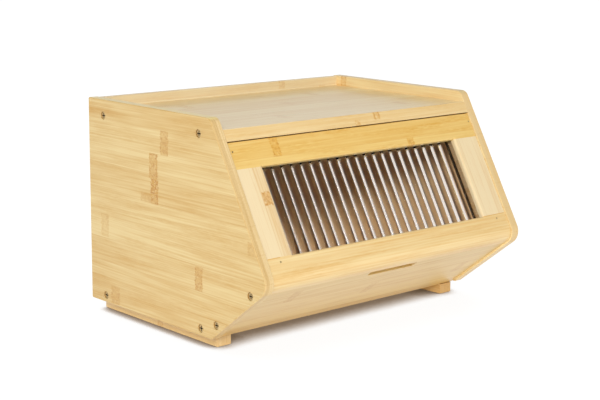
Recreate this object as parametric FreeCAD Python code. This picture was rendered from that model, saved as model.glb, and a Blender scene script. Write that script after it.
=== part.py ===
import FreeCAD, Part
import math
import os

# Bamboo bread box on two foot rails: a slant-fronted case of butted and screwed boards, with a
# top-hung glazed door on the slope and a fixed panel under it.
#
# Frame, in millimetres: +X to the right, +Y to the back, +Z up. The origin lies on the surface that
# the box stands on, under the centre of the box. In the side view a place is given by its depth
# from the back edge of the side panels and its height over their bottom edge.

# ---- case ---------------------------------------------------------------------------------------
box_width = 335.0          # over the two side panels
panel_height = 200.0       # side panel, bottom edge to top edge
top_depth = 189.0          # side panel, along its top edge
bottom_depth = 190.0       # side panel, along its bottom edge
nose_depth = 268.4         # from the back edge to where the slope and the undercut would cross
nose_height = 60.7         # height of that crossing
nose_radius = 14.0         # rounding of the side panels at the nose
top_front_radius = 9.0     # rounding where the top edge turns into the slope
back_corner_radius = 1.5   # rounding of the two back corners
side_thickness = 10.0
board_thickness = 10.0     # top board and lower front panel
bottom_thickness = 12.0    # bottom board
back_thickness = 6.0
tray_depth = 10.5          # top board's upper face below the rim
rim_drop = 0.6             # back panel's top edge below the rim
bottom_drop = 1.2          # bottom board's underside below the side panels' bottom edge
undercut_recess = 2.2      # lower panel's face behind the side panels' undercut edges
outer_ease = 0.8           # rounded arris round the outside of a side panel
inner_ease = 0.5           # rounded arris along its inside, at the exposed edges

# ---- feet ---------------------------------------------------------------------------------------
foot_drop = 11.5           # foot underside below the side panels' bottom edge
foot_width = 15.8
foot_back_setback = 5.5    # from the back edge to the foot's back end
left_foot_setback = 7.0    # from the foot's front end to the bottom edge's front end
right_foot_setback = 3.5
foot_side_setback = 12.6   # from the box's side to the foot
foot_ease = 1.2

# ---- door ---------------------------------------------------------------------------------------
door_thickness = 15.0
door_recess = 1.2          # door's face behind the side panels' slope edges
door_side_gap = 0.6        # between a door end and the side panel
door_top_gap = 0.5         # between the top board's front arris and the door
door_seam_gap = 0.3        # between the closed door and the lower panel's top end
top_rail_width = 25.5
left_stile_width = 29.8
right_stile_width = 32.2
bottom_rail_reach = 27.7   # from the window down to where the slope and the undercut would cross
window_ease = 2.2          # rounded arris round the window opening
door_top_ease = 0.5        # rounded arris along the door's top edge
door_nose_radius = 12.0    # rounding of the bottom rail at the nose

# ---- window -------------------------------------------------------------------------------------
pane_setback = 5.0         # from the door's face to the crests of the pane's flutes
flute_pitch = 11.49
flute_rise = 2.55          # height of a crest over its two valleys
flute_shift = 0.28         # shift of the flutes from a valley on the centre line, in pitches
pane_web = 2.0             # pane's thickness in the valleys
rebate_width = 6.0         # how far the rebate reaches past the window opening
pane_edge_gap = 0.5        # round the pane, in the rebate
bead_ease = 1.5

# ---- hinge --------------------------------------------------------------------------------------
pin_radius = 2.0
pin_running_gap = 0.05     # radial, in the side panel's hole
pin_in_rail = 18.0         # length of the pin inside the rail's end
pin_in_side = 6.0          # length of the pin inside the side panel
pin_end_gap = 0.5          # past the pin's end, in the side panel's hole
pivot_drop = 8.9           # pin's axis below the door's top edge

# ---- finger notch, across the top end of the lower panel ------------------------------------------
notch_length = 62.0
notch_width = 7.0          # down the panel, from the seam
notch_depth = 6.0          # into the panel, from its face
notch_corner_radius = 2.4

# ---- fasteners ----------------------------------------------------------------------------------
case_screw_head_radius = 3.9
case_screw_shank_radius = 2.0
case_screw_length = 34.0
case_screw_sink = 0.9      # head below the side panel's face
bottom_screw_height = 7.0  # of the bottom board's screws, over the side panels' bottom edge
small_screw_head_radius = 3.0
small_screw_shank_radius = 1.5
small_screw_length = 20.0
small_screw_sink = 0.2
screw_tip_length = 4.0
screw_tip_radius = 0.2
screw_lip = 0.4            # straight rim of a countersunk head
recess_share = 0.62        # span of the cross recess over the head's diameter
recess_slot_width = 1.0
recess_depth = 1.4
screw_hole_gap = 0.05      # radial, round heads and shanks
screw_back_inset = 24.6    # from the back edge to the rear screws of the top and bottom boards
screw_front_inset = 16.5   # from the front end of the top edge to the top board's front screws
bottom_screw_inset = 2.7   # from the lower panel's inner face to the bottom board's front screws
panel_screw_upper = 25.0   # from the nose, down the undercut, to the lower panel's upper screws
panel_screw_lower = 14.5   # from the undercut's lower end, up it, to the lower panel's lower screws
back_screw_inset = 40.0    # from the box's side to the outer screws of the back panel
foot_screw_inset = 28.0    # from a foot's end to its outer screws

dowel_radius = 4.0
dowel_length = 26.0
dowel_gap = 0.05
dowel_inset = 14.0         # from the door's end to the dowel's axis

brad_radius = 0.6
brad_head_radius = 0.8
brad_head_height = 0.6
rail_brad_length = 11.0
bead_brad_length = 10.0
bead_brad_radius = 0.6
rail_brad_drop = 4.5       # below the bottom rail's upper edge
pin_brad_inset = 2.5       # from the top rail's end
bead_brad_inset = 25.0     # from a bead's end to its outer brads

# ---- working values -------------------------------------------------------------------------------
overrun = 1.0              # how far a cutter runs past the face that it opens
same = 0.01                # two values closer than this are the same

# ---- lines of the side view -----------------------------------------------------------------------
half_width = box_width / 2
inner_half = half_width - side_thickness
slope_run = nose_depth - top_depth
slope_fall = panel_height - nose_height
slope_length = math.hypot(slope_run, slope_fall)
slope_angle = math.degrees(math.atan2(slope_fall, slope_run))
undercut_run = nose_depth - bottom_depth
undercut_length = math.hypot(undercut_run, nose_height)
undercut_angle = math.degrees(math.atan2(nose_height, undercut_run))
nose_half_angle = math.radians((slope_angle + undercut_angle) / 2)

# The rounded nose is the front of the box, so it gives the box's depth.
nose_centre_offset = nose_radius / math.sin(nose_half_angle)
nose_centre_tilt = math.radians((slope_angle - undercut_angle) / 2)
box_depth = nose_depth - nose_centre_offset * math.cos(nose_centre_tilt) + nose_radius
half_depth = box_depth / 2

tray_floor = panel_height - tray_depth
top_underside = tray_floor - board_thickness
bottom_underside = -bottom_drop
bottom_top = bottom_underside + bottom_thickness


def place(x, depth, height):
    """The point at a depth from the back edge and a height over the side panels' bottom edge."""
    return FreeCAD.Vector(x, half_depth - depth, height + foot_drop)


# ---- small helpers --------------------------------------------------------------------------------
def prism(points, x_low, x_high):
    """Solid between two X planes with a side-view outline of (depth, height) points."""
    corners = [place(x_low, depth, height) for depth, height in points]
    wire = Part.makePolygon(corners + corners[:1])
    return Part.Face(wire).extrude(FreeCAD.Vector(x_high - x_low, 0, 0))


def block(x, y, z, dx, dy, dz):
    """Box with its lowest corner at (x, y, z)."""
    return Part.makeBox(dx, dy, dz, FreeCAD.Vector(x, y, z))


def rod(radius, length, start, direction):
    """Round bar from a start point along a direction."""
    return Part.makeCylinder(radius, length, start, direction)


def ease(shape, radius, wanted):
    """Round the edges that a test picks out."""
    edges = [edge for edge in shape.Edges if wanted(edge)]
    return shape.makeFillet(radius, edges)


def level_at(edge, pick, value):
    """Whether both ends and the middle of an edge hold the same value."""
    middle = edge.valueAt((edge.FirstParameter + edge.LastParameter) / 2)
    places = [vertex.Point for vertex in edge.Vertexes] + [middle]
    return all(abs(pick(point) - value) < same for point in places)


def cut_all(shape, tools):
    """Take every tool out of a shape."""
    for tool in tools:
        shape = shape.cut(tool)
    return shape


def group(solids):
    """Several separate solids as one node."""
    return Part.makeCompound(solids)


def save(name, shape):
    """Write one node."""
    shape.exportStep(os.path.join("parts", name + ".step"))


def plane_meet(first, second):
    """Where two lines of the side view cross; a line is (depth, height, run, rise)."""
    depth_a, height_a, run_a, rise_a = first
    depth_b, height_b, run_b, rise_b = second
    spread = run_a * rise_b - rise_a * run_b
    along = ((depth_b - depth_a) * rise_b - (height_b - height_a) * run_b) / spread
    return depth_a + along * run_a, height_a + along * rise_a


def slope_line(inset):
    """Line behind the slope by an inset, running down towards the nose."""
    run = slope_run / slope_length
    fall = slope_fall / slope_length
    return top_depth - inset * fall, panel_height - inset * run, run, -fall


def undercut_line(inset):
    """Line behind the undercut by an inset, running down towards the back."""
    run = undercut_run / undercut_length
    fall = nose_height / undercut_length
    return nose_depth - inset * fall, nose_height + inset * run, -run, -fall


def level_line(height):
    """Level line at a height."""
    return 0.0, height, 1.0, 0.0


def on_slope(shape):
    """Carry a shape from the door's own frame to the box.

    In the door's frame X runs along the box, Y up the slope and Z out of it, and the origin lies
    where the top edge of the side panels meets the slope.
    """
    shape.rotate(FreeCAD.Vector(0, 0, 0), FreeCAD.Vector(1, 0, 0), slope_angle)
    shape.translate(place(0, top_depth, panel_height))
    return shape


def on_undercut(shape):
    """Carry a shape from the undercut's frame, with Y up towards the nose and Z out, to the box."""
    shape.rotate(FreeCAD.Vector(0, 0, 0), FreeCAD.Vector(1, 0, 0), 180 - undercut_angle)
    shape.translate(place(0, nose_depth, nose_height))
    return shape


# ---- door sizes, in the door's own frame ----------------------------------------------------------
door_face = -door_recess
door_back = door_face - door_thickness
door_middle = (door_face + door_back) / 2
arris_depth, arris_height = plane_meet(slope_line(0), level_line(top_underside))
arris_down = (panel_height - arris_height) / math.sin(math.radians(slope_angle))
door_top = -arris_down - door_top_gap
window_top = door_top - top_rail_width
window_bottom = bottom_rail_reach - slope_length
door_half = inner_half - door_side_gap
window_left = left_stile_width - door_half
window_right = door_half - right_stile_width
window_middle = (window_left + window_right) / 2
pivot_up = door_top - pivot_drop
seam_inset = door_recess + door_thickness + door_seam_gap

crest_level = door_face - pane_setback
valley_level = crest_level - flute_rise
pane_back = valley_level - pane_web
rebate_left = window_left - rebate_width
rebate_right = window_right + rebate_width
rebate_top = window_top + rebate_width
rebate_bottom = window_bottom - rebate_width
bead_depth = pane_back - door_back


# ---- fasteners ------------------------------------------------------------------------------------
def screw(head_radius, shank_radius, length, point, direction):
    """Countersunk cross-head screw, its head's face centred on a point and its tip along a direction."""
    cone_height = head_radius - shank_radius
    up = FreeCAD.Vector(0, 0, 1)
    origin = FreeCAD.Vector(0, 0, 0)
    head = rod(head_radius, screw_lip, origin, up)
    cone_start = FreeCAD.Vector(0, 0, screw_lip)
    cone = Part.makeCone(head_radius, shank_radius, cone_height, cone_start, up)
    straight = length - screw_tip_length
    shank = rod(shank_radius, straight, origin, up)
    tip_start = FreeCAD.Vector(0, 0, straight)
    tip = Part.makeCone(shank_radius, screw_tip_radius, screw_tip_length, tip_start, up)
    body = head.fuse([cone, shank, tip]).removeSplitter()
    span = 2 * head_radius * recess_share
    slot = block(-span / 2, -recess_slot_width / 2, 0, span, recess_slot_width, recess_depth)
    cross_slot = block(-recess_slot_width / 2, -span / 2, 0, recess_slot_width, span, recess_depth)
    body = cut_all(body, [slot, cross_slot])
    turn = FreeCAD.Rotation(up, direction)
    body.Placement = FreeCAD.Placement(point, turn)
    return body


def screw_hole(head_radius, shank_radius, length, sink, point, direction):
    """Hole for a countersunk screw, from the face that it enters."""
    wide = head_radius + screw_hole_gap
    narrow = shank_radius + screw_hole_gap
    mouth = rod(wide, sink + screw_lip, point, direction)
    cone_start = point + direction * (sink + screw_lip)
    cone = Part.makeCone(wide, narrow, wide - narrow, cone_start, direction)
    shaft = rod(narrow, sink + length + screw_hole_gap, point, direction)
    return mouth.fuse([cone, shaft])


def case_screw(point, direction):
    """Screw through a side panel; the point lies on the panel's outer face."""
    seat = point + direction * case_screw_sink
    return screw(case_screw_head_radius, case_screw_shank_radius, case_screw_length, seat, direction)


def case_screw_hole(point, direction):
    """Hole of a case screw."""
    return screw_hole(case_screw_head_radius, case_screw_shank_radius, case_screw_length,
                      case_screw_sink, point, direction)


def small_screw(point, direction):
    """Screw of the back panel and the feet; the point lies on the face that it enters."""
    seat = point + direction * small_screw_sink
    return screw(small_screw_head_radius, small_screw_shank_radius, small_screw_length, seat, direction)


def small_screw_hole(point, direction):
    """Hole of a small screw."""
    return screw_hole(small_screw_head_radius, small_screw_shank_radius, small_screw_length,
                      small_screw_sink, point, direction)


def brad(radius, head_radius, length, point, direction):
    """Headed brad, flush with the face it enters."""
    head = rod(head_radius, brad_head_height, point, direction)
    shank = rod(radius, length, point, direction)
    return head.fuse(shank).removeSplitter()


def sides(points):
    """Each (depth, height) point on both outer faces, with the way in."""
    for side in (-1, 1):
        for depth, height in points:
            yield place(side * half_width, depth, height), FreeCAD.Vector(-side, 0, 0)


def undercut_place(along, inset):
    """Depth and height of a point down the undercut from the nose, and behind it by an inset."""
    depth, height, run, rise = undercut_line(inset)
    return depth + along * run, height + along * rise


top_middle = top_underside + board_thickness / 2
panel_middle = undercut_recess + board_thickness / 2
top_screw_places = [(screw_back_inset, top_middle), (top_depth - screw_front_inset, top_middle)]
bottom_screw_line = undercut_line(undercut_recess + board_thickness + bottom_screw_inset)
bottom_screw_places = [(screw_back_inset, bottom_screw_height),
                       plane_meet(bottom_screw_line, level_line(bottom_screw_height))]
panel_screw_places = [undercut_place(panel_screw_upper, panel_middle),
                      undercut_place(undercut_length - panel_screw_lower, panel_middle)]

back_screw_x = [back_screw_inset - half_width, 0.0, half_width - back_screw_inset]
back_screw_heights = [top_middle, bottom_screw_height]
foot_x = half_width - foot_side_setback - foot_width / 2
foot_front_depths = {-1: bottom_depth - left_foot_setback, 1: bottom_depth - right_foot_setback}


def back_screw_sites():
    """Entry points of the back panel's screws, with the way in."""
    for x in back_screw_x:
        for height in back_screw_heights:
            yield place(x, 0, height), FreeCAD.Vector(0, -1, 0)


def foot_screw_sites(side):
    """Entry points of one foot's screws, with the way in."""
    front = foot_front_depths[side]
    middle = (foot_back_setback + front) / 2
    for depth in (foot_back_setback + foot_screw_inset, middle, front - foot_screw_inset):
        yield place(side * foot_x, depth, -foot_drop), FreeCAD.Vector(0, 0, 1)


# ---- case pieces ----------------------------------------------------------------------------------
def rounded_outline(x):
    """Outline of a side panel in the plane at x, with its rounded corners, as a face."""
    corners = [(0, 0), (bottom_depth, 0), (nose_depth, nose_height), (top_depth, panel_height),
               (0, panel_height)]
    radii = [back_corner_radius, 0, nose_radius, top_front_radius, back_corner_radius]
    edges = []
    ends = []
    for index, (corner, radius) in enumerate(zip(corners, radii)):
        here = place(x, *corner)
        before = place(x, *corners[index - 1])
        after = place(x, *corners[(index + 1) % len(corners)])
        towards_before = (before - here).normalize()
        towards_after = (after - here).normalize()
        half_angle = towards_before.getAngle(towards_after) / 2
        if radius == 0:
            ends.append((here, here))
            continue
        run = radius / math.tan(half_angle)
        start = here + towards_before * run
        stop = here + towards_after * run
        bisector = (towards_before + towards_after).normalize()
        middle = here + bisector * (radius / math.sin(half_angle) - radius)
        edges.append(Part.Arc(start, middle, stop).toShape())
        ends.append((start, stop))
    for index, (start, stop) in enumerate(ends):
        following = ends[(index + 1) % len(ends)][0]
        edges.append(Part.makeLine(stop, following))
    return Part.Face(Part.Wire(Part.__sortEdges__(edges)))


def pin_hole(side):
    """Blind hole of a hinge pin in the inner face of a side panel."""
    mouth = side * (inner_half - overrun)
    length = overrun + pin_in_side - door_side_gap + pin_end_gap
    hole = rod(pin_radius + pin_running_gap, length, FreeCAD.Vector(mouth, pivot_up, door_middle),
               FreeCAD.Vector(side, 0, 0))
    return on_slope(hole)


def side_panel(side):
    """Side panel with eased arrises, its screw holes and the hinge pin's blind hole."""
    outer_x = side * half_width
    inner_x = side * inner_half
    outline = rounded_outline(min(outer_x, inner_x))
    panel = outline.extrude(FreeCAD.Vector(side_thickness, 0, 0))
    panel = ease(panel, outer_ease, lambda edge: level_at(edge, lambda point: point.x, outer_x))
    back_plane = half_depth
    bottom_plane = foot_drop

    def exposed(edge):
        if not level_at(edge, lambda point: point.x, inner_x):
            return False
        if level_at(edge, lambda point: point.y, back_plane):
            return False
        if level_at(edge, lambda point: point.z, bottom_plane):
            return False
        middle = edge.valueAt((edge.FirstParameter + edge.LastParameter) / 2)
        return middle.y < back_plane - back_thickness

    panel = ease(panel, inner_ease, exposed)
    places = top_screw_places + bottom_screw_places + panel_screw_places
    holes = [case_screw_hole(point, way) for point, way in sides(places) if point.x * side > 0]
    return cut_all(panel, holes + [pin_hole(side)])


def top_board():
    """Tray floor, its front edge bevelled flush with the slope."""
    upper = plane_meet(slope_line(0), level_line(tray_floor))
    lower = plane_meet(slope_line(0), level_line(top_underside))
    outline = [(back_thickness, top_underside), lower, upper, (back_thickness, tray_floor)]
    board = prism(outline, -inner_half, inner_half)
    holes = [case_screw_hole(point, way) for point, way in sides(top_screw_places)]
    holes += [small_screw_hole(point, way) for point, way in back_screw_sites()]
    return cut_all(board, holes)


def back_panel():
    """Back panel between the side panels, from the bottom board's underside to the rim."""
    outline = [(0, bottom_underside), (back_thickness, bottom_underside),
               (back_thickness, panel_height - rim_drop), (0, panel_height - rim_drop)]
    panel = prism(outline, -inner_half, inner_half)
    top_plane = panel_height - rim_drop + foot_drop
    panel = ease(panel, inner_ease, lambda edge: level_at(edge, lambda point: point.z, top_plane)
                 and abs(edge.Length - 2 * inner_half) < same)
    return cut_all(panel, [small_screw_hole(point, way) for point, way in back_screw_sites()])


def bottom_board():
    """Bottom board, its front edge bevelled against the lower front panel."""
    inner_line = undercut_line(undercut_recess + board_thickness)
    lower = plane_meet(inner_line, level_line(bottom_underside))
    upper = plane_meet(inner_line, level_line(bottom_top))
    outline = [(back_thickness, bottom_underside), lower, upper, (back_thickness, bottom_top)]
    board = prism(outline, -inner_half, inner_half)
    holes = [case_screw_hole(point, way) for point, way in sides(bottom_screw_places)]
    holes += [small_screw_hole(point, way) for point, way in back_screw_sites()]
    for side in (-1, 1):
        holes += [small_screw_hole(point, way) for point, way in foot_screw_sites(side)]
    return cut_all(board, holes)


def finger_notch():
    """Cutter for the blind notch that lets a finger catch the closed door's lower edge."""
    reach = 2 * board_thickness
    floor = undercut_recess + notch_depth
    seam_start = plane_meet(undercut_line(undercut_recess), slope_line(seam_inset))
    down = math.hypot(nose_depth - seam_start[0], nose_height - seam_start[1])
    cutter = block(-notch_length / 2, -down - notch_width, -floor, notch_length, reach, floor)
    cutter = cutter.makeFillet(notch_corner_radius, [
        edge for edge in cutter.Edges
        if level_at(edge, lambda point: point.y, -down - notch_width)
        and level_at(edge, lambda point: abs(point.x), notch_length / 2)])
    return on_undercut(cutter)


def lower_front_panel():
    """Fixed panel of the undercut, from the door's seam to the bottom board's underside."""
    outer_line = undercut_line(undercut_recess)
    inner_line = undercut_line(undercut_recess + board_thickness)
    seam = slope_line(seam_inset)
    underside = level_line(bottom_underside)
    outline = [plane_meet(outer_line, seam), plane_meet(outer_line, underside),
               plane_meet(inner_line, underside), plane_meet(inner_line, seam)]
    panel = prism(outline, -inner_half, inner_half)
    holes = [case_screw_hole(point, way) for point, way in sides(panel_screw_places)]
    return cut_all(panel, holes + [finger_notch()])


def foot_rail(side):
    """Foot strip under the bottom board, with eased lower arrises."""
    start = place(side * foot_x - foot_width / 2, foot_front_depths[side], -foot_drop)
    length = foot_front_depths[side] - foot_back_setback
    rail = block(start.x, start.y, start.z, foot_width, length, foot_drop - bottom_drop)
    rail = ease(rail, foot_ease, lambda edge: level_at(edge, lambda point: point.z, 0.0))
    return cut_all(rail, [small_screw_hole(point, way) for point, way in foot_screw_sites(side)])


# ---- door pieces, modelled in the door's own frame --------------------------------------------------
def glazing_rebate():
    """Room of the pane and its beads, cut into the back of the door's frame."""
    shoulder = crest_level
    start = door_back - overrun
    return block(rebate_left, rebate_bottom, start, rebate_right - rebate_left,
                 rebate_top - rebate_bottom, shoulder - start)


def dowel_sites():
    """Centres of the frame's dowels, in the middle of each joint between a rail and a stile."""
    for side in (-1, 1):
        for level in (window_top, window_bottom):
            yield FreeCAD.Vector(side * (door_half - dowel_inset), level, door_middle)


def dowel(centre, gap):
    """Dowel, or with a gap the hole that takes it."""
    start = centre - FreeCAD.Vector(0, dowel_length / 2 + gap, 0)
    return rod(dowel_radius + gap, dowel_length + 2 * gap, start, FreeCAD.Vector(0, 1, 0))


def rail_brad_sites():
    """Where the frame's brads enter the door's face."""
    for side in (-1, 1):
        yield FreeCAD.Vector(side * (door_half - dowel_inset), window_bottom - rail_brad_drop, door_face)
        yield FreeCAD.Vector(side * (door_half - pin_brad_inset), pivot_up, door_face)


def rail_brad(point):
    """Brad that locks a dowel or a hinge pin in its rail."""
    return brad(brad_radius, brad_head_radius, rail_brad_length, point, FreeCAD.Vector(0, 0, -1))


def hinge_pin(side):
    """Hinge pin, pressed into the top rail's end."""
    start = FreeCAD.Vector(side * (door_half - pin_in_rail), pivot_up, door_middle)
    return rod(pin_radius, pin_in_rail + pin_in_side, start, FreeCAD.Vector(side, 0, 0))


def frame_cutters():
    """Everything that is taken out of the door's frame."""
    cutters = [glazing_rebate()]
    cutters += [dowel(centre, dowel_gap) for centre in dowel_sites()]
    cutters += [rail_brad(point) for point in rail_brad_sites()]
    cutters += [hinge_pin(side) for side in (-1, 1)]
    cutters += [bead_brad(point, way) for point, way in bead_brad_sites()]
    return cutters


def frame_blank():
    """The door's frame in one, with its window, eased arrises, nose, rebate and holes."""
    nose = slope_point(plane_meet(slope_line(door_recess), undercut_line(undercut_recess)))
    heel = slope_point(plane_meet(slope_line(door_recess + door_thickness),
                                  undercut_line(undercut_recess)))
    outline = [(door_top, door_back), (door_top, door_face), nose, heel]
    corners = [FreeCAD.Vector(-door_half, up, out) for up, out in outline]
    wire = Part.makePolygon(corners + corners[:1])
    blank = Part.Face(wire).extrude(FreeCAD.Vector(2 * door_half, 0, 0))
    blank = ease(blank, door_nose_radius, lambda edge: level_at(edge, lambda point: point.y, nose[0])
                 and level_at(edge, lambda point: point.z, door_face))
    blank = ease(blank, door_top_ease, lambda edge: level_at(edge, lambda point: point.y, door_top)
                 and not level_at(edge, lambda point: point.x, edge.Vertexes[0].Point.x))
    window = block(window_left, window_bottom, door_back - overrun, window_right - window_left,
                   window_top - window_bottom, door_thickness + 2 * overrun)
    blank = blank.cut(window)

    def window_arris(edge):
        if not level_at(edge, lambda point: point.z, door_face):
            return False
        middle = edge.valueAt((edge.FirstParameter + edge.LastParameter) / 2)
        across = window_left - same < middle.x < window_right + same
        return across and window_bottom - same < middle.y < window_top + same

    return cut_all(ease(blank, window_ease, window_arris), frame_cutters())


def frame_piece(blank, x_low, x_high, y_low, y_high):
    """One rail or stile, parted from the blank along its joints."""
    depth = door_thickness + 2 * overrun
    region = block(x_low, y_low, door_back - overrun, x_high - x_low, y_high - y_low, depth)
    return on_slope(blank.common(region))


def slope_point(depth_height):
    """A (depth, height) point as (up the slope, out of the slope) in the door's frame."""
    depth, height = depth_height
    run = slope_run / slope_length
    fall = slope_fall / slope_length
    across = depth - top_depth
    rise = height - panel_height
    return rise * fall - across * run, across * fall + rise * run


def window_pane():
    """Fluted pane: round ribs that run up and down the slope, on a flat back."""
    left_end = rebate_left + pane_edge_gap
    right_end = rebate_right - pane_edge_gap
    low = rebate_bottom + pane_edge_gap
    high = rebate_top - pane_edge_gap
    each_way = math.ceil(max(-left_end, right_end) / flute_pitch) + 1
    stops = [(index + flute_shift) * flute_pitch for index in range(-each_way, each_way + 1)]
    edges = []
    for left, right in zip(stops[:-1], stops[1:]):
        start = FreeCAD.Vector(left, low, valley_level)
        crest = FreeCAD.Vector((left + right) / 2, low, crest_level)
        stop = FreeCAD.Vector(right, low, valley_level)
        edges.append(Part.Arc(start, crest, stop).toShape())
    rim = [FreeCAD.Vector(stops[-1], low, valley_level), FreeCAD.Vector(stops[-1], low, pane_back),
           FreeCAD.Vector(stops[0], low, pane_back), FreeCAD.Vector(stops[0], low, valley_level)]
    for start, stop in zip(rim[:-1], rim[1:]):
        edges.append(Part.makeLine(start, stop))
    face = Part.Face(Part.Wire(Part.__sortEdges__(edges)))
    sheet = face.extrude(FreeCAD.Vector(0, high - low, 0))
    depth = crest_level - pane_back + 2 * overrun
    outline = block(left_end, low, pane_back - overrun, right_end - left_end, high - low, depth)
    return on_slope(sheet.common(outline))


def bead_box(x_low, x_high, y_low, y_high):
    """Blank of a glazing bead, behind the pane and flush with the door's back."""
    return block(x_low, y_low, door_back, x_high - x_low, y_high - y_low, bead_depth)


def eased_bead(bead, pick, value):
    """Round the bead's arris that faces the window, at the door's back."""
    return ease(bead, bead_ease, lambda edge: level_at(edge, lambda point: point.z, door_back)
                and level_at(edge, pick, value))


def bead_brad_sites():
    """Where the beads' brads start, on the window side of each bead, with the way in."""
    middle = (pane_back + door_back) / 2
    for x in (window_left + bead_brad_inset, window_middle, window_right - bead_brad_inset):
        yield FreeCAD.Vector(x, window_top, middle), FreeCAD.Vector(0, 1, 0)
        yield FreeCAD.Vector(x, window_bottom, middle), FreeCAD.Vector(0, -1, 0)
    for x, side in ((window_left, -1), (window_right, 1)):
        for y in (window_top - bead_brad_inset, window_bottom + bead_brad_inset):
            yield FreeCAD.Vector(x, y, middle), FreeCAD.Vector(side, 0, 0)


def bead_brad(point, way):
    """Brad through a glazing bead into the frame."""
    return brad(bead_brad_radius, bead_brad_radius, bead_brad_length, point, way)


def glazing_bead(name):
    """One of the four beads: top and bottom run through, the sides stand between them."""
    places = {
        "top": (rebate_left, rebate_right, window_top, rebate_top),
        "bottom": (rebate_left, rebate_right, rebate_bottom, window_bottom),
        "left": (rebate_left, window_left, window_bottom, window_top),
        "right": (window_right, rebate_right, window_bottom, window_top),
    }
    bead = bead_box(*places[name])
    if name in ("top", "bottom"):
        level = window_top if name == "top" else window_bottom
        bead = eased_bead(bead, lambda point: point.y, level)
    else:
        level = window_left if name == "left" else window_right
        bead = eased_bead(bead, lambda point: point.x, level)
    return on_slope(cut_all(bead, [bead_brad(point, way) for point, way in bead_brad_sites()]))


# ---- the nodes --------------------------------------------------------------------------------------
os.makedirs("parts", exist_ok=True)

for side_name, side in (("left", -1), ("right", 1)):
    save("side_panel_" + side_name, side_panel(side))
    save("foot_rail_" + side_name, foot_rail(side))
    pin = cut_all(hinge_pin(side), [rail_brad(point) for point in rail_brad_sites()])
    save("hinge_pin_" + side_name, on_slope(pin))

save("top_board", top_board())
save("back_panel", back_panel())
save("bottom_board", bottom_board())
save("lower_front_panel", lower_front_panel())

frame = frame_blank()
beyond_nose = window_bottom - slope_length
save("door_top_rail", frame_piece(frame, -door_half, door_half, window_top, door_top))
save("door_bottom_rail", frame_piece(frame, -door_half, door_half, beyond_nose, window_bottom))
save("door_stile_left", frame_piece(frame, -door_half, window_left, window_bottom, window_top))
save("door_stile_right", frame_piece(frame, window_right, door_half, window_bottom, window_top))
save("window_pane", window_pane())
for bead_name in ("top", "bottom", "left", "right"):
    save("glazing_bead_" + bead_name, glazing_bead(bead_name))

dowels = [dowel(centre, 0) for centre in dowel_sites()]
locked = [cut_all(peg, [rail_brad(point) for point in rail_brad_sites()]) for peg in dowels]
save("door_dowels", on_slope(group(locked)))
save("door_brads", on_slope(group([rail_brad(point) for point in rail_brad_sites()])))
save("bead_brads", on_slope(group([bead_brad(point, way) for point, way in bead_brad_sites()])))

save("top_board_screws", group([case_screw(point, way) for point, way in sides(top_screw_places)]))
save("bottom_board_screws", group([case_screw(point, way) for point, way in sides(bottom_screw_places)]))
save("front_panel_screws", group([case_screw(point, way) for point, way in sides(panel_screw_places)]))
save("back_panel_screws", group([small_screw(point, way) for point, way in back_screw_sites()]))
foot_sites = list(foot_screw_sites(-1)) + list(foot_screw_sites(1))
save("foot_screws", group([small_screw(point, way) for point, way in foot_sites]))
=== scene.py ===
"""Bamboo bread box with a top-hung fluted window door, dressed for viewing.

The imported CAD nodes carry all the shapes. This script gives every node its finish and sets up a
pale studio with one camera.
"""

import logging
import math
from dataclasses import dataclass, field, replace
from enum import Enum

import bpy
from mathutils import Matrix, Vector


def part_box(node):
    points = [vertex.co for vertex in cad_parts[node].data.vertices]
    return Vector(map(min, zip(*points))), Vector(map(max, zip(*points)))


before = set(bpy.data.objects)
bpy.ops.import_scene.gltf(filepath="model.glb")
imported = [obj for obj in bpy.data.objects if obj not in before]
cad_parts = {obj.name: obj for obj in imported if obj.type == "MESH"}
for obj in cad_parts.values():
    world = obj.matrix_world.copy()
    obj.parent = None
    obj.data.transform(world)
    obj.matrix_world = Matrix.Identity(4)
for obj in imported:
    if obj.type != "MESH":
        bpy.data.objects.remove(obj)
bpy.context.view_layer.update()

LOG = logging.getLogger("bread_box")
MM = 0.001
Socket = bpy.types.NodeSocket
Colour = tuple[float, float, float]
Span = tuple[float, float]
Scales = tuple[float, float, float]
WHITE: Colour = (1.0, 1.0, 1.0)


class Axis(Enum):
    """Axis of a board's own frame."""

    X = 0
    Y = 1
    Z = 2


@dataclass(frozen=True)
class CaseSizes:
    """Lines of the side view that the finishes follow, in millimetres.

    Depths run from the back edge of the side panels, heights from their bottom edge.
    """

    width: float = 335.0
    panel_height: float = 200.0
    top_depth: float = 189.0
    bottom_depth: float = 190.0
    nose_depth: float = 268.4
    nose_height: float = 60.7
    foot_drop: float = 11.5
    side_thickness: float = 10.0
    board_thickness: float = 10.0
    tray_depth: float = 10.5
    bottom_drop: float = 1.2

    @property
    def slope_turn(self) -> float:
        """Angle of the slope over the level, in radians."""
        return math.atan2(self.panel_height - self.nose_height, self.nose_depth - self.top_depth)

    @property
    def undercut_turn(self) -> float:
        """Turn that lays a level board on the undercut with its face outwards, in radians."""
        return math.pi - math.atan2(self.nose_height, self.nose_depth - self.bottom_depth)

    @property
    def back(self) -> float:
        """Y of the side panels' back edge, in metres, read from the frame."""
        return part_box("back_panel")[1].y

    def place(self, depth: float, height: float) -> Vector:
        """Point of the middle plane, in metres.

        Args:
            depth: Millimetres from the back edge.
            height: Millimetres over the side panels' bottom edge.

        Returns:
            The point in the box's frame.
        """
        return Vector((0.0, self.back - depth * MM, (height + self.foot_drop) * MM))


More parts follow.
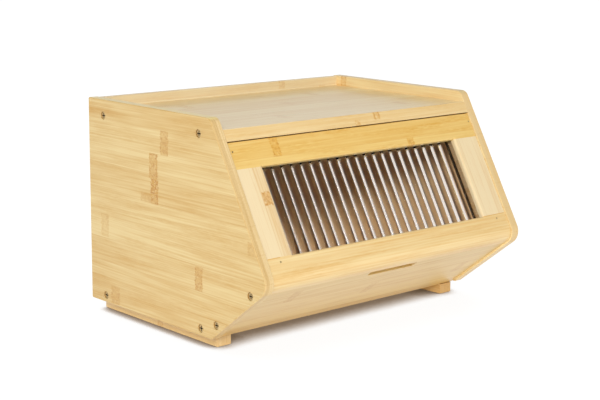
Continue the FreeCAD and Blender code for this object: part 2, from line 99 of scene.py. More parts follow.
class Graph:
    """Typed helper round one node tree."""

    def __init__(self, tree: bpy.types.NodeTree) -> None:
        """Wrap a node tree.

        Args:
            tree: The tree.
        """
        self.tree = tree

    def node(self, kind: str, *feeds: object, named: dict[str, object] | None = None,
             **settings: object) -> bpy.types.Node:
        """Add a node, set its properties and feed its inputs.

        Args:
            kind: The node's type name.
            *feeds: Sockets or plain values for its first inputs.
            named: Sockets or plain values by the input's name.
            **settings: Properties by name.

        Returns:
            The new node.
        """
        made = self.tree.nodes.new(kind)
        for key, value in settings.items():
            setattr(made, key, value)
        for socket, value in zip(made.inputs, feeds):
            self.feed(socket, value)
        self.feed_named(made, named or {})
        return made

    def feed_named(self, made: bpy.types.Node, values: dict[str, object]) -> None:
        """Link or set a node's inputs by name.

        Args:
            made: The node.
            values: Sockets or plain values by the input's name.
        """
        for name, value in values.items():
            self.feed(made.inputs[name], value)

    def feed(self, socket: Socket, value: object) -> None:
        """Link a socket to another, or set its value.

        Args:
            socket: The input.
            value: An output socket or a plain value.
        """
        if isinstance(value, Socket):
            self.tree.links.new(value, socket)
        elif socket.type == "RGBA":
            socket.default_value = (*value, 1.0)
        else:
            socket.default_value = value

    def math(self, operation: str, *values: object, clamp: bool = False) -> Socket:
        """One Math node.

        Args:
            operation: The node's operation.
            *values: Its inputs, sockets or numbers.
            clamp: Whether the result is kept between 0 and 1.

        Returns:
            The result.
        """
        return self.node("ShaderNodeMath", *values, operation=operation, use_clamp=clamp).outputs[0]

    def scaled(self, value: object, factor: object) -> Socket:
        """A value times a factor."""
        return self.math("MULTIPLY", value, factor)

    def plus(self, value: object, factor: object, base: object) -> Socket:
        """A value times a factor, added to a base."""
        return self.math("MULTIPLY_ADD", value, factor, base)

    def centred(self, value: object) -> Socket:
        """A value from 0 to 1, moved to run from -0.5 to 0.5."""
        return self.math("SUBTRACT", value, 0.5)

    def combine(self, x: object, y: object, z: object) -> Socket:
        """Vector of three values."""
        return self.node("ShaderNodeCombineXYZ", x, y, z).outputs[0]

    def split(self, vector: Socket) -> tuple[Socket, ...]:
        """The three values of a vector."""
        return tuple(self.node("ShaderNodeSeparateXYZ", vector).outputs)

    def sized(self, vector: Socket, scales: Scales) -> Socket:
        """A vector with each value times its own scale."""
        return self.node("ShaderNodeMapping", named={"Vector": vector, "Scale": scales}).outputs[0]

    def noise(self, vector: object, detail: float = 2.0, roughness: float = 0.5) -> Socket:
        """Noise from 0 to 1 at a vector that is already scaled."""
        values = {"Vector": vector, "Scale": 1.0, "Detail": detail, "Roughness": roughness}
        return self.node("ShaderNodeTexNoise", named=values).outputs[0]

    def chance(self, value: object, shift: float) -> Socket:
        """One random value from 0 to 1 for each whole number."""
        values = {"W": self.math("ADD", value, shift)}
        return self.node("ShaderNodeTexWhiteNoise", named=values, noise_dimensions="1D").outputs["Value"]

    def span(self, value: object, low: object, high: object) -> Socket:
        """Value eased from low..high to 0..1, and held there past both ends."""
        made = self.node("ShaderNodeMapRange", value, low, high, interpolation_type="SMOOTHSTEP")
        return made.outputs[0]

    def blend(self, kind: str, share: object, first: object, second: object) -> Socket:
        """Mix of two values of one kind.

        Args:
            kind: The node's type of data.
            share: Share of the second.
            first: The first value.
            second: The second value.

        Returns:
            The mix.
        """
        made = self.node("ShaderNodeMix", data_type=kind)
        for label, value in (("Factor", share), ("A", first), ("B", second)):
            self.feed(next(s for s in made.inputs if s.name == label and s.enabled), value)
        return next(s for s in made.outputs if s.enabled)

    def mix(self, share: object, first: object, second: object) -> Socket:
        """Mix of two colours."""
        return self.blend("RGBA", share, first, second)

    def mix_value(self, share: object, first: object, second: object) -> Socket:
        """Mix of two numbers."""
        return self.blend("FLOAT", share, first, second)


class MaterialGraph(Graph):
    """One material's node tree, round its Principled shader."""

    def __init__(self, name: str) -> None:
        """Start a material with a bare shader.

        Args:
            name: The material's name.
        """
        self.material = bpy.data.materials.new(name)
        self.material.use_nodes = True
        super().__init__(self.material.node_tree)
        self.shader = self.tree.nodes["Principled BSDF"]
        self.output = self.tree.nodes["Material Output"]

    def set_shader(self, values: dict[str, object]) -> None:
        """Link or set inputs of the shader.

        Args:
            values: Sockets or plain values by the input's name.
        """
        self.feed_named(self.shader, values)

    def bump(self, height: object, distance: float, strength: float) -> None:
        """Send a height to the shader's normal.

        Args:
            height: Height from 0 to 1.
            distance: Height of 1, in metres.
            strength: Strength of the effect.
        """
        values = {"Strength": strength, "Distance": distance, "Height": height}
        self.set_shader({"Normal": self.node("ShaderNodeBump", named=values).outputs["Normal"]})


@dataclass(frozen=True)
class NodeMark:
    """Knuckle of the bamboo cane, seen as a mottled band across one strip.

    Lengths are in millimetres.

    Attributes:
        along: Place along the fibres.
        across: Middle of the strip.
        half_width: Half of the strip's width.
        strength: How dark it is.
        half_length: Half of the band's length along the fibres.
    """

    along: float
    across: float
    half_width: float = 11.5
    strength: float = 1.0
    half_length: float = 5.5


@dataclass(frozen=True)
class ToneBand:
    """Stretch of a board whose fibres are deeper or paler than the rest.

    Lengths are in millimetres.

    Attributes:
        low: Its lower edge across the strips.
        high: Its upper edge across the strips.
        shift: Change of the deep colour's share.
        start: Where it begins along the fibres.
        stop: Where it ends along the fibres.
        soft_across: Width of its blurred edges across the strips.
        soft_along: Length of its blurred ends.
    """

    low: float
    high: float
    shift: float
    start: float = -900.0
    stop: float = 900.0
    soft_across: float = 0.4
    soft_along: float = 14.0


class Draw(Enum):
    """Random draws of a board, each with its own step from the board's seed."""

    TONE = 0.0
    CANE_PLACE = 0.37
    LEAN = 0.71
    END_TONE = 2.9
    KNUCKLE_PLACE = 5.1
    KNUCKLE_STRENGTH = 6.3


@dataclass(frozen=True)
class Grain:
    """Noise that is stretched along a board.

    Attributes:
        scales: Its scales along, across and through the board, per millimetre.
        weight: Its part in the depth of colour.
        detail: Number of finer layers.
        roughness: Strength of the finer layers.
        shift: Its start through the board, in units of the noise.
    """

    scales: Scales
    weight: float = 1.0
    detail: float = 2.0
    roughness: float = 0.6
    shift: float = 0.0


def streak(length: float, width: float, weight: float) -> Grain:
    """Streaks in the fibres.

    Args:
        length: Their usual length, in millimetres.
        width: Their usual width, in millimetres.
        weight: Their part in the depth of colour.

    Returns:
        Their noise.
    """
    return Grain((1 / length, 1 / width, 1 / width), weight, roughness=0.55)


BROAD_STREAKS = streak(90.0, 9.0, 0.34)
LINE_STREAKS = streak(140.0, 1.7, 0.40)
HAIR_STREAKS = streak(26.0, 0.45, 0.16)
DASH_STREAKS = streak(8.0, 0.9, 0.55)
STREAK_GAIN = 2.6
END_BANDS = Grain((0.02, 0.02, 0.85), detail=3.0)
END_PORES = Grain((1.1, 1.1, 1.6), 0.7)
KNUCKLE_EDGE = Grain((0.02, 0.35, 0.0), shift=9.1)
KNUCKLE_DOTS = Grain((0.34, 0.44, 0.0), shift=3.7)
KNUCKLE_FLECKS = Grain((0.50, 0.62, 0.0), detail=1.0, roughness=0.5, shift=8.3)


@dataclass(frozen=True)
class Lacquer:
    """Satin lacquer over the bamboo, with the fibres' relief under it.

    Attributes:
        streak_roughness: Change of its roughness on the thin streaks.
        end_roughness: Change of its roughness on sawn ends.
        ior: Its index of refraction.
        coat: Weight of its clear coat.
        coat_roughness: Roughness of the clear coat.
        hair_height: Height of the finest streaks over the thin ones.
        seam_height: Height of the glue lines over the thin streaks.
        relief: Height of the relief, in metres.
        relief_share: Strength of the relief.
    """

    streak_roughness: float = 0.05
    end_roughness: float = 0.15
    ior: float = 1.47
    coat: float = 0.10
    coat_roughness: float = 0.20
    hair_height: float = 0.5
    seam_height: float = -0.5
    relief: float = 0.00003
    relief_share: float = 0.5


@dataclass(frozen=True)
class KnuckleLook:
    """How the bamboo's knuckles are painted.

    Lengths are in millimetres.

    Attributes:
        end_blur: How far a band's ends blur past its length.
        end_start: How far inside its length they start to blur.
        rim_inset: How far inside its length the darker rims lie.
        rim_width: Half of a rim's width.
        rim_weight: Part of the rims in the mask.
        middle_weight: Part of the rest of the band in the mask.
        side_blur: How far a band's sides blur.
        wobble: How far the band's edge wanders along the fibres.
        period_half_length: Half of the length of a repeated knuckle.
        tan: Share of the tan in the mask.
        tan_shade: Channels of the tan over the deep colour.
        dot_span: Part of the noise that makes dark dots.
        dot: Share of the dark dots.
        dot_shade: Channels of the dots over the deep colour.
        fleck_span: Part of the noise that makes pale flecks.
        fleck: Share of the pale flecks.
    """

    end_blur: float = 0.8
    end_start: float = 0.4
    rim_inset: float = 0.8
    rim_width: float = 1.1
    rim_weight: float = 0.40
    middle_weight: float = 0.75
    side_blur: float = 0.3
    wobble: float = 5.0
    period_half_length: float = 4.0
    tan: float = 0.84
    tan_shade: Colour = (1.0, 0.96, 0.85)
    dot_span: Span = (0.46, 0.62)
    dot: float = 0.70
    dot_shade: Colour = (0.78, 0.58, 0.42)
    fleck_span: Span = (0.57, 0.66)
    fleck: float = 0.55


@dataclass(frozen=True)
class BoardPlace:
    """Place of one shaded point in a board's own frame, in millimetres.

    Attributes:
        along: Along the fibres.
        across: Across the strips.
        through: Through the board's thickness.
        end: How far the surface faces along the fibres, from 0 to 1.
        crown: How far the surface faces up across the strips, from 0 to 1.
    """

    along: Socket
    across: Socket
    through: Socket
    end: Socket
    crown: Socket


@dataclass(frozen=True)
class BambooFinish:
    """Laminated bamboo under a satin lacquer.

    Lengths are in millimetres where nothing else is said.

    Attributes:
        name: The material's name.
        origin: Origin of the board's frame, in metres.
        grain: Board axis that the fibres follow.
        across: Board axis across the strips.
        turn: Turn of the board's frame about X, in radians.
        strip_width: Width of one strip.
        strip_shift: Where the strips start.
        ply: Thickness of one ply through the board, or 0 for one ply.
        pale: Colour of the palest fibres.
        deep: Colour of the deepest fibres.
        end_pale: Colour of the palest fibres on sawn ends.
        crown_light_pale: Paler colour of the upper edge, as painted light, or None for the same as the
            faces.
        base: Share of the deep colour in a plain strip.
        figure: Strength of the streaks.
        ripple: Strength of the short wavy dashes.
        seed: Start of the random draws.
        marks: Knuckles at known places.
        bands: Stretches of a deeper or paler tone.
        mark_period: Distance between knuckles on other strips, or 0 for none.
        gloss: Roughness of the lacquer.
        strip_spread: Spread of the depth of colour from strip to strip.
        strip_lean: Lean of the fibres in their strip, as a slope.
        draw_length: Length of cane that the strips are cut from.
        draws_per_ply: Random draws that lie between two plies.
        patch_span: Part of the broad streaks that carries the dashes.
        seam_width: Half of a glue line's width.
        seam_share: Strength of the glue lines.
        seam_shade: Channels of the glue lines over the deep colour.
        crown_light_share: How far the upper edge takes its painted light colour.
        crown_span: Slopes between which a surface turns into the upper edge.
        end_span: Slopes between which a surface turns into a sawn end.
        end_spread: Spread of the depth of colour from ply to ply on sawn ends.
        end_shift: Change of the deep colour's share on sawn ends.
        knuckles: How the knuckles are painted.
        lacquer: The lacquer.
    """

    name: str
    origin: Vector
    grain: Axis
    across: Axis
    turn: float = 0.0
    strip_width: float = 23.0
    strip_shift: float = 0.0
    ply: float = 0.0
    pale: Colour = (0.90, 0.71, 0.40)
    deep: Colour = (0.72, 0.42, 0.13)
    end_pale: Colour = (0.92, 0.73, 0.42)
    crown_light_pale: Colour | None = None
    base: float = 0.34
    figure: float = 1.0
    ripple: float = 0.5
    seed: float = 1.0
    marks: tuple[NodeMark, ...] = ()
    bands: tuple[ToneBand, ...] = ()
    mark_period: float = 0.0
    gloss: float = 0.36
    strip_spread: float = 0.34
    strip_lean: float = 0.045
    draw_length: float = 900.0
    draws_per_ply: float = 41.0
    patch_span: Span = (-0.25, 0.45)
    seam_width: float = 0.45
    seam_share: float = 0.22
    seam_shade: Colour = (0.85, 0.75, 0.60)
    crown_light_share: float = 0.85
    crown_span: Span = (0.75, 0.95)
    end_span: Span = (0.45, 0.75)
    end_spread: float = 0.35
    end_shift: float = -0.14
    knuckles: KnuckleLook = KnuckleLook()
    lacquer: Lacquer = Lacquer()

    def turned(self, graph: Graph, vector: object, origin: Vector) -> tuple[Socket, ...]:
        """The three board-frame values of a place or a direction in the box's frame.

        Args:
            graph: The material's graph.
            vector: The place or direction.
            origin: The origin to measure from, in metres.

        Returns:
            The values along the board's X, Y and Z.
        """
        values = {"Vector": vector, "Location": origin, "Rotation": (self.turn, 0.0, 0.0)}
        return graph.split(graph.node("ShaderNodeMapping", named=values, vector_type="TEXTURE").outputs[0])

    def measure(self, graph: Graph) -> BoardPlace:
        """Read the shaded point's place on the board.

        Args:
            graph: The material's graph.

        Returns:
            The place.
        """
        source = graph.node("ShaderNodeTexCoord")
        places = self.turned(graph, source.outputs["Object"], self.origin)
        values = [graph.scaled(value, 1 / MM) for value in places]
        facing = self.turned(graph, source.outputs["Normal"], Vector((0.0, 0.0, 0.0)))
        end = graph.span(graph.math("ABSOLUTE", facing[self.grain.value]), *self.end_span)
        crown = graph.span(facing[self.across.value], *self.crown_span)
        through = ({0, 1, 2} - {self.grain.value, self.across.value}).pop()
        return BoardPlace(values[self.grain.value], values[self.across.value], values[through],
                          end, crown)

    def draw(self, graph: Graph, number: object, kind: Draw) -> Socket:
        """One random value from 0 to 1 for each strip or ply."""
        return graph.chance(number, self.seed + kind.value)

    def grain_noise(self, graph: Graph, spot: BoardPlace, grain: Grain) -> Socket:
        """Noise from 0 to 1 that is stretched along the board.

        Args:
            graph: The material's graph.
            spot: Place on the board.
            grain: The noise's measures.

        Returns:
            The noise.
        """
        along, across, through = grain.scales
        vector = graph.combine(graph.scaled(spot.along, along), graph.scaled(spot.across, across),
                               graph.plus(spot.through, through, grain.shift))
        return graph.noise(vector, grain.detail, grain.roughness)

    def streaks(self, graph: Graph, spot: BoardPlace, grain: Grain) -> Socket:
        """Streaks of one kind, centred on 0 and about 1 wide."""
        return graph.scaled(graph.centred(self.grain_noise(graph, spot, grain)), STREAK_GAIN)

    def build(self) -> bpy.types.Material:
        """Make the material.

        Returns:
            The material.
        """
        graph = MaterialGraph(self.name)
        spot = self.measure(graph)
        strips = graph.math("DIVIDE", graph.math("SUBTRACT", spot.across, self.strip_shift),
                            self.strip_width)
        strip = graph.math("FLOOR", strips)
        layer: object = 0.0
        if self.ply:
            layer = graph.math("FLOOR", graph.math("DIVIDE", spot.through, self.ply))
            strip = graph.plus(layer, self.draws_per_ply, strip)
        fibres = self.fibres(graph, spot, strip)
        line = self.streaks(graph, fibres, LINE_STREAKS)
        hair = self.streaks(graph, fibres, HAIR_STREAKS)

        level = self.depth(graph, spot, fibres, strip, line, hair)
        level = graph.mix_value(spot.end, level, self.end_level(graph, spot, layer))
        level = graph.math("ADD", level, 0.0, clamp=True)
        colour = graph.mix(level, graph.mix(spot.end, self.pale, self.end_pale), self.deep)
        # Painted light: surfaces that face up across the strips are made paler.
        if self.crown_light_pale is not None:
            colour = graph.mix(graph.scaled(spot.crown, self.crown_light_share), colour, self.crown_light_pale)
        colour = self.add_knuckles(graph, colour, spot, strip)
        seam = self.seams(graph, strips)
        colour = graph.mix(graph.scaled(seam, self.seam_share), colour, self.shade(self.seam_shade))

        lacquer = self.lacquer
        rough = graph.plus(line, lacquer.streak_roughness, self.gloss)
        rough = graph.plus(spot.end, lacquer.end_roughness, rough)
        graph.set_shader({"Base Color": colour, "Roughness": rough, "IOR": lacquer.ior,
                          "Coat Weight": lacquer.coat, "Coat Roughness": lacquer.coat_roughness})
        height = graph.plus(hair, lacquer.hair_height, line)
        height = graph.plus(seam, lacquer.seam_height, height)
        graph.bump(height, lacquer.relief, lacquer.relief_share)
        return graph.material

    def fibres(self, graph: Graph, spot: BoardPlace, strip: object) -> BoardPlace:
        """Place in the cane that a strip was cut from, with the strip's own lean.

        Args:
            graph: The material's graph.
            spot: Place on the board.
            strip: Number of the strip.

        Returns:
            The place in the cane.
        """
        lean = graph.centred(self.draw(graph, strip, Draw.LEAN))
        offset = graph.scaled(self.draw(graph, strip, Draw.CANE_PLACE), self.draw_length)
        leaning = graph.plus(graph.scaled(lean, spot.along), self.strip_lean, spot.across)
        return replace(spot, along=graph.math("ADD", spot.along, offset), across=leaning)

    def depth(self, graph: Graph, spot: BoardPlace, fibres: BoardPlace, strip: object,
              line: object, hair: object) -> Socket:
        """Share of the deep colour on the board's faces.

        Args:
            graph: The material's graph.
            spot: Place on the board.
            fibres: Place in the cane.
            strip: Number of the strip.
            line: The thin streaks.
            hair: The finest streaks.

        Returns:
            The share, which may run past 0 and 1.
        """
        broad = self.streaks(graph, fibres, BROAD_STREAKS)
        dash = self.streaks(graph, fibres, DASH_STREAKS)
        tone = graph.centred(self.draw(graph, strip, Draw.TONE))
        patchy = graph.scaled(dash, graph.span(broad, *self.patch_span))
        parts = [(tone, self.strip_spread), (broad, BROAD_STREAKS.weight * self.figure),
                 (line, LINE_STREAKS.weight * self.figure), (hair, HAIR_STREAKS.weight),
                 (patchy, DASH_STREAKS.weight * self.ripple)]
        parts += [(self.inside(graph, spot, band), band.shift) for band in self.bands]
        level: object = self.base
        for part, weight in parts:
            level = graph.plus(part, weight, level)
        return level

    def seams(self, graph: Graph, strips: object) -> Socket:
        """Mask of the glue lines between the strips.

        Args:
            graph: The material's graph.
            strips: Place across the board, in strips.

        Returns:
            The mask from 0 to 1.
        """
        fraction = graph.math("FRACT", strips)
        edge = graph.math("MINIMUM", fraction, graph.math("SUBTRACT", 1.0, fraction))
        return graph.span(graph.scaled(edge, self.strip_width), self.seam_width, 0.0)

    def inside(self, graph: Graph, spot: BoardPlace, band: ToneBand) -> Socket:
        """Mask of a tone band.

        Args:
            graph: The material's graph.
            spot: Place on the board.
            band: The band.

        Returns:
            The mask from 0 to 1.
        """
        masks = []
        for value, low, high, soft in ((spot.across, band.low, band.high, band.soft_across),
                                       (spot.along, band.start, band.stop, band.soft_along)):
            masks.append(graph.scaled(graph.span(value, low - soft, low + soft),
                                      graph.span(value, high + soft, high - soft)))
        return graph.scaled(*masks)

    def shade(self, shares: Colour) -> Colour:
        """The deep colour, each channel times its share."""
        return tuple(channel * share for channel, share in zip(self.deep, shares))

    def end_level(self, graph: Graph, spot: BoardPlace, layer: object) -> Socket:
        """Depth of colour on sawn ends: fine bands that follow the plies, with pores.

        Args:
            graph: The material's graph.
            spot: Place on the board.
            layer: Number of the ply.

        Returns:
            The level from 0 to 1.
        """
        tone = self.draw(graph, layer, Draw.END_TONE)
        level = graph.plus(tone, self.end_spread, self.base + self.end_shift)
        for grain in (END_BANDS, END_PORES):
            noise = graph.centred(self.grain_noise(graph, spot, grain))
            level = graph.plus(noise, grain.weight, level)
        return level

    def knuckle(self, graph: Graph, distance: object, half_length: float) -> Socket:
        """Mask of one knuckle: a band with darker rims.

        Args:
            graph: The material's graph.
            distance: Distance along the fibres from the knuckle's middle, in millimetres.
            half_length: Half of the band's length.

        Returns:
            The mask.
        """
        look = self.knuckles
        away = graph.math("ABSOLUTE", distance)
        band = graph.span(away, half_length + look.end_blur, half_length - look.end_start)
        from_rim = graph.math("ABSOLUTE", graph.math("SUBTRACT", away, half_length - look.rim_inset))
        rim = graph.span(from_rim, look.rim_width, 0.0)
        return graph.scaled(band, graph.plus(rim, look.rim_weight, look.middle_weight))

    def knuckle_mask(self, graph: Graph, spot: BoardPlace, strip: object) -> object:
        """Mask of all the knuckles, at known places or one in each period of every strip.

        Args:
            graph: The material's graph.
            spot: Place on the board.
            strip: Number of the strip.

        Returns:
            The mask.
        """
        look = self.knuckles
        wobble = self.grain_noise(graph, spot, KNUCKLE_EDGE)
        bent = graph.plus(graph.centred(wobble), look.wobble, spot.along)
        total: object = 0.0
        for mark in self.marks:
            distance = graph.math("SUBTRACT", bent, mark.along)
            aside = graph.math("ABSOLUTE", graph.math("SUBTRACT", spot.across, mark.across))
            inside = graph.span(aside, mark.half_width + look.side_blur, mark.half_width - look.side_blur)
            mask = graph.scaled(self.knuckle(graph, distance, mark.half_length), inside)
            total = graph.math("MAXIMUM", total, graph.scaled(mask, mark.strength))
        if self.mark_period:
            start = graph.scaled(self.draw(graph, strip, Draw.KNUCKLE_PLACE), self.mark_period)
            around = graph.math("FLOORED_MODULO", graph.math("ADD", bent, start), self.mark_period)
            distance = graph.math("SUBTRACT", around, self.mark_period / 2)
            mask = graph.scaled(self.knuckle(graph, distance, look.period_half_length),
                                self.draw(graph, strip, Draw.KNUCKLE_STRENGTH))
            total = graph.math("MAXIMUM", total, mask)
        return graph.scaled(total, graph.math("SUBTRACT", 1.0, spot.end))

    def add_knuckles(self, graph: Graph, colour: object, spot: BoardPlace,
                     strip: object) -> Socket:
        """Paint the knuckles: tan bands with dark dots and pale flecks.

        Args:
            graph: The material's graph.
            colour: Colour of the fibres.
            spot: Place on the board.
            strip: Number of the strip.

        Returns:
            The colour with its knuckles.
        """
        look = self.knuckles
        total = self.knuckle_mask(graph, spot, strip)
        speckle = self.grain_noise(graph, spot, KNUCKLE_DOTS)
        flecks = self.grain_noise(graph, spot, KNUCKLE_FLECKS)
        dots = graph.math("MULTIPLY", graph.span(speckle, *look.dot_span), total, clamp=True)
        tan = graph.math("MULTIPLY", total, look.tan, clamp=True)
        tanned = graph.mix(tan, colour, self.shade(look.tan_shade))
        dotted = graph.math("MULTIPLY", dots, look.dot, clamp=True)
        spotted = graph.mix(dotted, tanned, self.shade(look.dot_shade))
        light = graph.math("MULTIPLY", graph.span(flecks, *look.fleck_span), total, clamp=True)
        return graph.mix(graph.scaled(light, look.fleck), spotted, self.pale)


@dataclass(frozen=True)
class MetalFinish:
    """Plated or plain steel of the small fasteners.

    Lengths are in millimetres where nothing else is said.

    Attributes:
        name: The material's name.
        colour: Colour of the plating.
        tarnish: Colour of its darker patches.
        roughness: Roughness of the metal.
        recess_axis: Box axis that the screws' recesses follow, or None for parts without them.
        face_level: Distance of the heads' faces from the box's middle.
        recess_start: How far under the faces the painted shade starts.
        recess_full: How far under the faces it is full.
        recess_shade_share: How strongly the painted shade covers the metal.
        recess_shade_colour: Colour of the painted shade in the recesses.
        patch_scale: Scale of the patches, per metre.
        patch_detail: Number of finer layers in the patches.
        patch_roughness: Strength of the finer layers.
        patch_span: Part of the noise that is tarnished.
        rough_spread: Spread of the roughness over the patches.
        relief: Height of the patches, in metres.
        relief_share: Strength of that relief.
    """

    name: str
    colour: Colour
    tarnish: Colour
    roughness: float = 0.28
    recess_axis: Axis | None = None
    face_level: float = 0.0
    recess_start: float = 0.1
    recess_full: float = 0.5
    recess_shade_share: float = 0.9
    recess_shade_colour: Colour = (0.035, 0.022, 0.012)
    patch_scale: float = 900.0
    patch_detail: float = 3.0
    patch_roughness: float = 0.6
    patch_span: Span = (0.4, 0.7)
    rough_spread: float = 0.2
    relief: float = 0.00002
    relief_share: float = 0.3

    def build(self) -> bpy.types.Material:
        """Make the material.

        Returns:
            The material.
        """
        graph = MaterialGraph(self.name)
        source = graph.node("ShaderNodeTexCoord").outputs["Object"]
        patch = graph.noise(graph.sized(source, (self.patch_scale,) * 3), self.patch_detail,
                            self.patch_roughness)
        colour = graph.mix(graph.span(patch, *self.patch_span), self.colour, self.tarnish)
        # Painted shade: the metal darkens under the heads' faces, in the screws' recesses.
        if self.recess_axis is not None:
            place = graph.split(source)[self.recess_axis.value]
            level = graph.math("ABSOLUTE", graph.scaled(place, 1 / MM))
            shade_depth = graph.span(level, self.face_level - self.recess_start,
                              self.face_level - self.recess_full)
            colour = graph.mix(graph.scaled(shade_depth, self.recess_shade_share), colour, self.recess_shade_colour)
        smoothest = self.roughness - self.rough_spread / 2
        rough = graph.plus(patch, self.rough_spread, smoothest)
        graph.set_shader({"Base Color": colour, "Metallic": 1.0, "Roughness": rough})
        graph.bump(patch, self.relief, self.relief_share)
        return graph.material


@dataclass(frozen=True)
class ClearFinish:
    """Clear acrylic of the fluted pane, which lets the lamps' light through.

    Attributes:
        name: The material's name.
        colour: Colour of the acrylic.
        ior: Its index of refraction.
        film_scales: Scales of the faint film on the pane, per metre.
        smoothest: Roughness where the film is thinnest.
        film_roughness: Roughness that the film adds where it is thickest.
        lamp_share: Share of the lamps' light that passes.
        room_share: Share of the room's soft light that passes.
    """

    name: str = "clear_fluted_acrylic"
    colour: Colour = (0.97, 0.975, 0.98)
    ior: float = 1.49
    film_scales: Scales = (160.0, 30.0, 30.0)
    smoothest: float = 0.02
    film_roughness: float = 0.03
    lamp_share: Colour = (1.0, 0.935, 0.95)
    room_share: Colour = (0.08, 0.07, 0.07)

    def build(self) -> bpy.types.Material:
        """Make the material.

        Returns:
            The material.
        """
        graph = MaterialGraph(self.name)
        source = graph.node("ShaderNodeTexCoord").outputs["Object"]
        film = graph.noise(graph.sized(source, self.film_scales))
        rough = graph.plus(film, self.film_roughness, self.smoothest)
        graph.set_shader({"Base Color": self.colour, "Transmission Weight": 1.0, "IOR": self.ior,
                          "Roughness": rough})
        path = graph.node("ShaderNodeLightPath")
        passing = graph.mix(path.outputs["Is Diffuse Ray"], self.lamp_share, self.room_share)
        straight = graph.node("ShaderNodeBsdfTransparent", passing)
        soft = graph.math("MAXIMUM", path.outputs["Is Shadow Ray"], path.outputs["Is Diffuse Ray"])
        blend = graph.node("ShaderNodeMixShader", soft, graph.shader.outputs[0], straight.outputs[0])
        graph.feed(graph.output.inputs["Surface"], blend.outputs[0])
        return graph.material


def dress(material: bpy.types.Material, *names: str) -> None:
    """Give CAD nodes a material.

    Args:
        material: The material.
        *names: The nodes' names.
    """
    for name in names:
        for material_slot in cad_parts[name].material_slots:
            material_slot.material = material
        LOG.info("%s wears %s", name, material.name)


